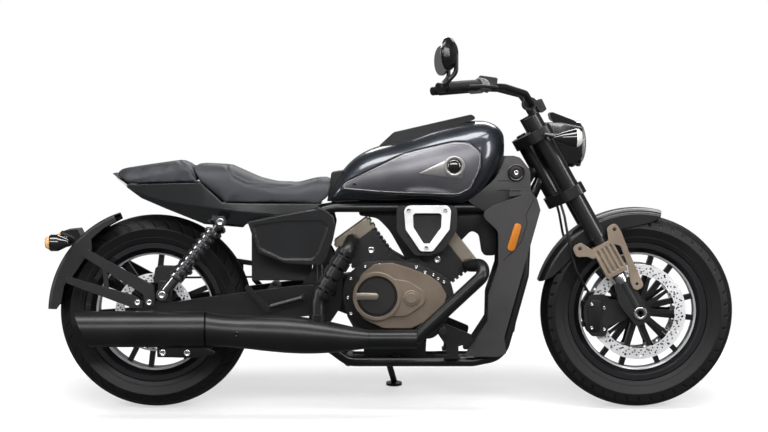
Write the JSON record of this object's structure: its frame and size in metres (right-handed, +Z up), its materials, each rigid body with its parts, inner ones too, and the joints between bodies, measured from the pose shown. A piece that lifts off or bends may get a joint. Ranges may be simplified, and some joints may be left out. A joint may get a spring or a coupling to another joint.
{
  "type": "cruiser motorcycle",
  "caption": "Cruiser motorcycle with a V-shaped twin engine, upside-down fork, cast wheels and long low muffler, leaning on its side stand.",
  "frame": {"origin": "middle of the footprint box on the floor, with the motorcycle leaning on its side stand", "axes": "+X forward, +Y to the rider's left (the side of the stand), +Z up"},
  "size_m": [2.158, 0.938, 1.2033],
  "materials": {
    "tyre_rubber": "matt black moulded rubber",
    "black_gloss": "gloss black paint",
    "black_satin": "satin black coating",
    "tank_paint": "gunmetal blue-black metallic paint under clear coat",
    "panel_paint": "warm graphite satin metallic paint",
    "bronze_cast": "bronze-grey painted casting",
    "bronze_forged": "champagne bronze anodised forging",
    "dark_cast": "dark grey coated casting",
    "disc_steel": "ground stainless steel",
    "chrome": "bright chrome",
    "seat_vinyl": "charcoal grained vinyl",
    "black_plastic": "textured black plastic",
    "shroud_plastic": "dark warm grey satin plastic",
    "grip_rubber": "ribbed black rubber",
    "belt_rubber": "toothed black belt rubber",
    "lamp_black": "gloss black lamp housing with clear lens"
  },
  "bodies": {
    "chassis": {"main_frame": "black_satin", "swingarm": "black_satin", "shocks": "black_satin", "engine_block": "dark_cast", "cylinders": "dark_cast", "head_covers": "bronze_cast", "engine_covers": "bronze_cast", "intake_housing": "black_plastic", "intake_frame": "chrome", "fuel_tank": "tank_paint", "tank_panels": "panel_paint", "tank_pad": "black_plastic", "rider_seat": "seat_vinyl", "passenger_seat": "seat_vinyl", "tail_cover": "black_gloss", "side_covers": "black_gloss", "radiator": "dark_cast", "radiator_shrouds": "shroud_plastic", "exhaust_headers": "black_satin", "muffler": "black_satin", "rear_hugger": "black_plastic", "rear_lights": "lamp_black", "drive_belt": "belt_rubber", "belt_guard": "black_plastic", "foot_controls": "black_satin", "battery_box": "black_plastic", "passenger_pegs": "black_satin", "rear_caliper": "dark_cast"},
    "steering": {"triple_clamps": "black_satin", "fork_tubes": "black_satin", "fork_sliders": "dark_cast", "fork_brackets": "bronze_forged", "front_fender": "black_satin", "front_calipers": "dark_cast", "handlebar": "black_satin", "instrument": "black_plastic", "hand_controls": "grip_rubber", "mirrors": "lamp_black", "headlamp": "lamp_black", "front_indicators": "lamp_black", "brake_hoses": "grip_rubber"},
    "front_wheel_set": {"front_tyre": "tyre_rubber", "front_wheel": "black_gloss", "front_discs": "disc_steel"},
    "rear_wheel_set": {"rear_tyre": "tyre_rubber", "rear_wheel": "black_gloss", "rear_disc": "disc_steel", "rear_pulley": "dark_cast"},
    "stand_leg": {"side_stand": "black_satin"}
  },
  "joints": [
    {"name": "steer", "type": "hinge", "parent": "chassis", "child": "steering", "pos_m": [0.51136, -0.06007, 0.66661], "axis": [-0.4848, 0.1217, 0.8661], "range_deg": [-30, 30]},
    {"name": "front_wheel_spin", "type": "hinge", "parent": "steering", "child": "front_wheel_set", "pos_m": [0.775, -0.11134, 0.30183], "axis": [0, 0.9903, -0.1392], "continuous": true},
    {"name": "rear_wheel_spin", "type": "hinge", "parent": "chassis", "child": "rear_wheel_set", "pos_m": [-0.745, -0.11134, 0.30183], "axis": [0, 0.9903, -0.1392], "continuous": true},
    {"name": "stand_fold", "type": "hinge", "parent": "chassis", "child": "stand_leg", "pos_m": [-0.025, 0.01939, 0.1542], "axis": [0.1566, 0.7929, 0.5888], "range_deg": [0, 96]}
  ]
}
